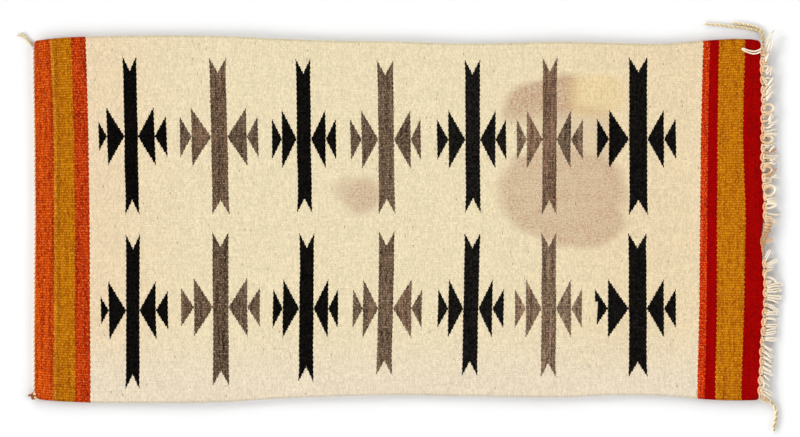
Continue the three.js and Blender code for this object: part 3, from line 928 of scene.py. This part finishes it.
def curved(points, count):
    """A smooth line through points in the plane or in space, by a Catmull-Rom spline."""
    points = np.asarray(points, float)
    padded = np.concatenate([[2 * points[0] - points[1]], points, [2 * points[-1] - points[-2]]])
    at = np.linspace(0, len(points) - 1, count)
    i = np.minimum(at.astype(int), len(points) - 2)
    f = (at - i)[:, None]
    a, b, c, d = padded[i], padded[i + 1], padded[i + 2], padded[i + 3]
    return 0.5 * (2 * b + (c - a) * f + (2 * a - 5 * b + 4 * c - d) * f ** 2
                  + (3 * b - a - 3 * c + d) * f ** 3)


def level(plan, height):
    """Plan points laid at a height."""
    return np.column_stack([plan, np.full(len(plan), height)])


def fringe_path(start, heading, bend, length, height):
    """A loose end that bends as it goes and droops to the floor."""
    count = 22
    share = np.linspace(0, 1, count)
    angle = np.radians(heading + bend * share)
    ahead = np.column_stack([np.cos(angle), np.sin(angle)])
    aside = ahead[:, ::-1] * (-1, 1)
    step = length / (count - 1) * (share > 0)
    crimp = 0.3 * np.sin(share * length / 6 * 2 * math.pi + rng.uniform(0, 6.28)) * share
    plan = start + np.cumsum(ahead * step[:, None], axis=0) + aside * crimp[:, None]
    droop = DROOP * rng.uniform(0.8, 1.1) * np.maximum(plan[:, 0] - start[0], 0)
    z = height + 0.7 * np.sin(math.pi * share) - droop
    return np.column_stack([plan, np.maximum(z, 1.0)])


def hairpin_path(start, heading, bend, length, height, radius):
    """A loose end that runs out, doubles round and comes back beside itself."""
    out = fringe_path(start, heading, bend, length, height)
    ahead = np.gradient(out[:, :2], axis=0)
    ahead /= np.linalg.norm(ahead, axis=1, keepdims=True)
    aside = np.column_stack([-ahead[:, 1], ahead[:, 0], 0 * ahead[:, 0]])
    open_by = np.linspace(1.05, 1.35, len(out))[:, None] * radius
    tip = out[-1:] + np.append(ahead[-1] * 1.2 * radius, 0.0)
    return np.concatenate([out - aside * open_by, tip, (out + aside * open_by)[::-1]])


def heading_height(y):
    return float(gap_under(right_at(y), y)) + KNOT_HEIGHT


def from_edge(x, y):
    return x - right_at(y)


def beside(points, y, lift):
    """Points given out of the edge, from y across and up, laid at the heading's height."""
    return np.array([(right_at(y + dy) + out, y + dy, heading_height(y + dy) + lift + up)
                     for out, dy, up in points])


def each_strand():
    """The rows of strands, with a row for each strand of a group."""
    for across, heading, *rest in STRANDS:
        if isinstance(across, tuple):
            first, last, count = across
            for pair in zip(np.linspace(first, last, count), np.linspace(*heading, count)):
                yield *pair, *rest
        else:
            yield across, heading, *rest


class Fringe(YarnPile):
    """A scalloped heading of knotted warps, and their loose ends and rings beyond it."""

    def __init__(self):
        super().__init__()
        self.heading()
        self.strands()
        self.rings()
        self.tangle()
        self.corners()

    def warp(self, path, radius, tan):
        out = ALL_BROWN if tan == BROWN else from_edge
        self.add(path, radius, 12.0 * radius, plies=1, sides=8, out=out, first=tan)

    def knot(self, y, half):
        """One scallop, three wraps over it, and a dark tuck between it and the next, as painted shadow."""
        bulge, skew = rng.uniform(-0.6, 0.7), rng.uniform(-0.25, 0.25) * half
        low, high = rng.uniform(0.35, 0.6, 2) * half
        lobe = [(4.2, -low, -0.6), (2.3, -0.84 * half, 0.0), (bulge + 0.7, -0.45 * half, 0.2),
                (bulge, skew, 0.3),
                (bulge + 0.7, 0.5 * half, 0.2), (2.3, 0.84 * half, 0.0), (4.4, high, -0.6)]
        radius = LOBE_RADIUS * rng.uniform(0.85, 1.1)
        self.warp(curved(beside(lobe, y, 0.5), 34), radius, rng.uniform(0.0, 0.7))
        for _ in range(3):
            begin, end = rng.uniform(-0.5, 0.5) * half, rng.uniform(-0.7, 0.7) * half
            wrap = [(bulge + 1.6, begin, 0.0), (3.0, 0.5 * (begin + end), 0.6), (5.0, end, -0.6)]
            radius = WRAP_RADIUS * rng.uniform(0.85, 1.15)
            self.warp(curved(beside(wrap, y, 0.6), 16), radius, rng.uniform(0.4, 1.0))
        # A small dark yarn stands for the shadow in the gap between two scallops.
        shadow_tuck = beside([(2.4, half - 0.7, 0.0), (3.2, half + 0.7, 0.0)], y, 1.3)
        self.add(shadow_tuck, SHADOW_TUCK_RADIUS, 4.0, out=ALL_PAINTED_SHADOW)

    def heading(self):
        knots = np.linspace(*KNOT_SPAN, KNOT_COUNT)
        for y in knots + rng.normal(0, 0.5, KNOT_COUNT):
            if not TANGLE_SPAN[0] < y < TANGLE_SPAN[1]:
                self.knot(y, (knots[1] - knots[0]) / 2)

    def strands(self):
        for across, heading, bend, length, root, radius, tan, *pin in each_strand():
            y = across + rng.normal(0, 0.25)
            towards = heading + rng.normal(0, 3.5)
            start = (right_at(y) + root - 0.8 + rng.normal(0, 0.4), y)
            shape = (start, towards, bend * rng.uniform(0.85, 1.15), length * rng.uniform(0.94, 1.06),
                     heading_height(y) + 0.8)
            line = hairpin_path(*shape, radius) if pin else fringe_path(*shape)
            self.warp(line, radius * rng.uniform(0.92, 1.08), tan)

    def rings(self):
        for across, reach, wide, lean, radius, tan in RINGS:
            far = reach * rng.uniform(0.95, 1.05)
            side = [(1.8, 0.55, 0.0), (0.42 * far, 1.0, 0.4), (0.82 * far, 0.75, -0.6)]
            ring = [(out, -share, up) for out, share, up in side] + [(far, 0.0, -1.2)] + side[::-1]
            loop = [(out, wide * share + lean * out / far, up) for out, share, up in ring]
            self.warp(curved(beside(loop, across, 0.7), 44), radius, tan)

    def tangle(self):
        for turns in TANGLE:
            line = [(right_at(y) + out, y, heading_height(y) + 0.9) for out, y in turns]
            self.add(curved(line, 50), TANGLE_RADIUS, 6.5, out=ALL_BROWN)

    def corners(self):
        for plan in CORNER_WRAPS:
            self.lay_flat([plan], heading_height(plan[0][1]) + 0.6, 24, WRAP_RADIUS, 7.0, out=3.0)


def make_loop(material):
    """The stray hairpin of warp on the red stripe."""
    pile = YarnPile()
    plan = curved(WARP_LOOP, 80)
    path = np.column_stack([plan, gap_under(*plan.T) + THICKNESS + 0.8 * LOOP_RADIUS])
    pile.add(path, LOOP_RADIUS, 9.0, plies=1, sides=8, out=6.0, first=0.2)
    return pile.make("stray_warp_loop", material)


def make_end_cord(material):
    """The twined cord along the plain end."""
    pile = YarnPile()
    y = np.linspace(*END_CORD_SPAN, 120)
    edge = left_at(y)
    path = np.column_stack([edge - 0.5, y, gap_under(edge, y) + THICKNESS / 2 + 0.4])
    pile.add(path, END_CORD_RADIUS, 6.1, sides=7)
    return pile.make("end_cord_yarn", material)


def make_tail(material):
    """The end cord's loose end: two yarns twisted, then parted."""
    pile = YarnPile()
    pile.lay_flat([TAIL_LEFT, TAIL_BACK], TAIL_YARN, 40, TAIL_YARN, 4.0)
    return pile.make("end_cord_tail_yarn", material)


def make_knot(material):
    """An overhand knot with frayed stubs, and two pale stitches over the corner."""
    pile = YarnPile()
    turn = np.linspace(0.35, 4 * math.pi - 0.35, 120)
    swing = 0.5 * KNOT_RADIUS * (2 + np.cos(1.5 * turn))
    height = KNOT_LIFT + KNOT_FLATTEN * (0.5 * KNOT_RADIUS * (1 + np.sin(1.5 * turn)) + KNOT_YARN)
    x, y = KNOT_PLACE
    path = np.column_stack([x + swing * np.cos(turn), y + swing * np.sin(turn), height])
    pile.add(path, KNOT_YARN, 4.5, first=0.8)
    pile.lay_flat(KNOT_STUBS, KNOT_LIFT, 16, KNOT_YARN, 4.5, first=0.8)
    pile.lay_flat(KNOT_STITCHES, STITCH_LIFT, 16, KNOT_YARN, 9.0, plies=1, sides=8)
    return pile.make("end_cord_knot_yarn", material)


def make_side_cord(name, plan, radius, material):
    """A loose end of side cord, and the line that it follows, in metres."""
    pile = YarnPile()
    full = CORD_LOFT * radius
    line = curved(level(plan, full), 160)
    run = np.linspace(0, 1, len(line))
    line[:, 2] += RISE["right"][0] * np.clip(1 - run / 0.25, 0, 1) ** 2
    pile.add(line, full, 5.2 * radius, sides=8)
    return pile.make(name, material), line * MM


# The stage

def make_floor():
    """A plain pale floor."""
    mesh = bpy.data.meshes.new("floor")
    corners = [(-1, -1), (1, -1), (1, 1), (-1, 1)]
    mesh.from_pydata([(x * FLOOR_HALF, y * FLOOR_HALF, FLOOR_TOP) for x, y in corners], [], [(0, 1, 2, 3)])
    floor = put_in_scene("floor", mesh)
    s = Shader("pale_floor")
    grain = s.noise(s.node("TexCoord").outputs["Object"], 30.0)
    mesh.materials.append(s.finish(s.mix(grain, *FLOOR_SHADES), 0.9))


def make_light():
    """Soft light all round, with more of it from the left."""
    world = bpy.data.worlds.new("soft_room")
    bpy.context.scene.world = world
    world.use_nodes = True
    background = world.node_tree.nodes["Background"]
    background.inputs["Color"].default_value = (1.0, 1.0, 1.0, 1.0)
    background.inputs["Strength"].default_value = ROOM_LIGHT
    for name, (bearing, elevation, spread, strength) in LAMPS.items():
        light = bpy.data.lights.new(name, "SUN")
        light.energy = strength
        light.angle = math.radians(spread)
        lamp = put_in_scene(name, light)
        lamp.rotation_euler = (0.0, math.radians(90 - elevation), math.radians(bearing))


def make_camera():
    """The camera straight above, which sees the photo's width at the cloth's upper face."""
    camera = put_in_scene("camera", bpy.data.cameras.new("camera"))
    view_width = PHOTO_WIDTH * PHOTO_MM_PER_PIXEL * MM
    camera.data.sensor_fit = "HORIZONTAL"
    camera.data.lens = camera.data.sensor_width * (CAMERA_HEIGHT - THICKNESS * MM) / view_width
    camera.location = (PHOTO_CENTRE[0] * MM, PHOTO_CENTRE[1] * MM, CAMERA_HEIGHT)
    bpy.context.scene.camera = camera
    bpy.context.scene.view_settings.view_transform = "Standard"


# The rug

def dress(piece, node):
    """Lays a piece in place of a plain solid: hangs it under the root and hides the solid."""
    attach(piece, "root")
    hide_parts(node)
    return piece


make_floor()
make_light()
make_camera()
gold_yarn, straw_yarn, twined_yarn, knot_yarn = (yarn_material(*yarn) for yarn in YARNS.items())
cotton = cotton_material()

for node, plan, radius, yarn in (
    ("side_cord_long", SIDE_CORD_LONG, SIDE_CORD_RADIUS, gold_yarn),
    ("side_cord_short", SIDE_CORD_SHORT, SIDE_CORD_RADIUS, gold_yarn),
    ("side_cord_front", SIDE_CORD_FRONT, FRONT_CORD_RADIUS, straw_yarn),
):
    piece, line = make_side_cord(node + "_yarn", plan, radius, yarn)
    dress(piece, node)

cloth = make_panel(woven_wool())
trims = [
    dress(make_end_cord(twined_yarn), "end_cord"),
    dress(make_tail(gold_yarn), "end_cord_tail"),
    dress(make_knot(knot_yarn), "end_cord_knot"),
    dress(Fringe().make("rug_fringe", cotton), "fringe"),
    dress(make_loop(cotton), "warp_loop"),
]
dress(cloth, "panel")
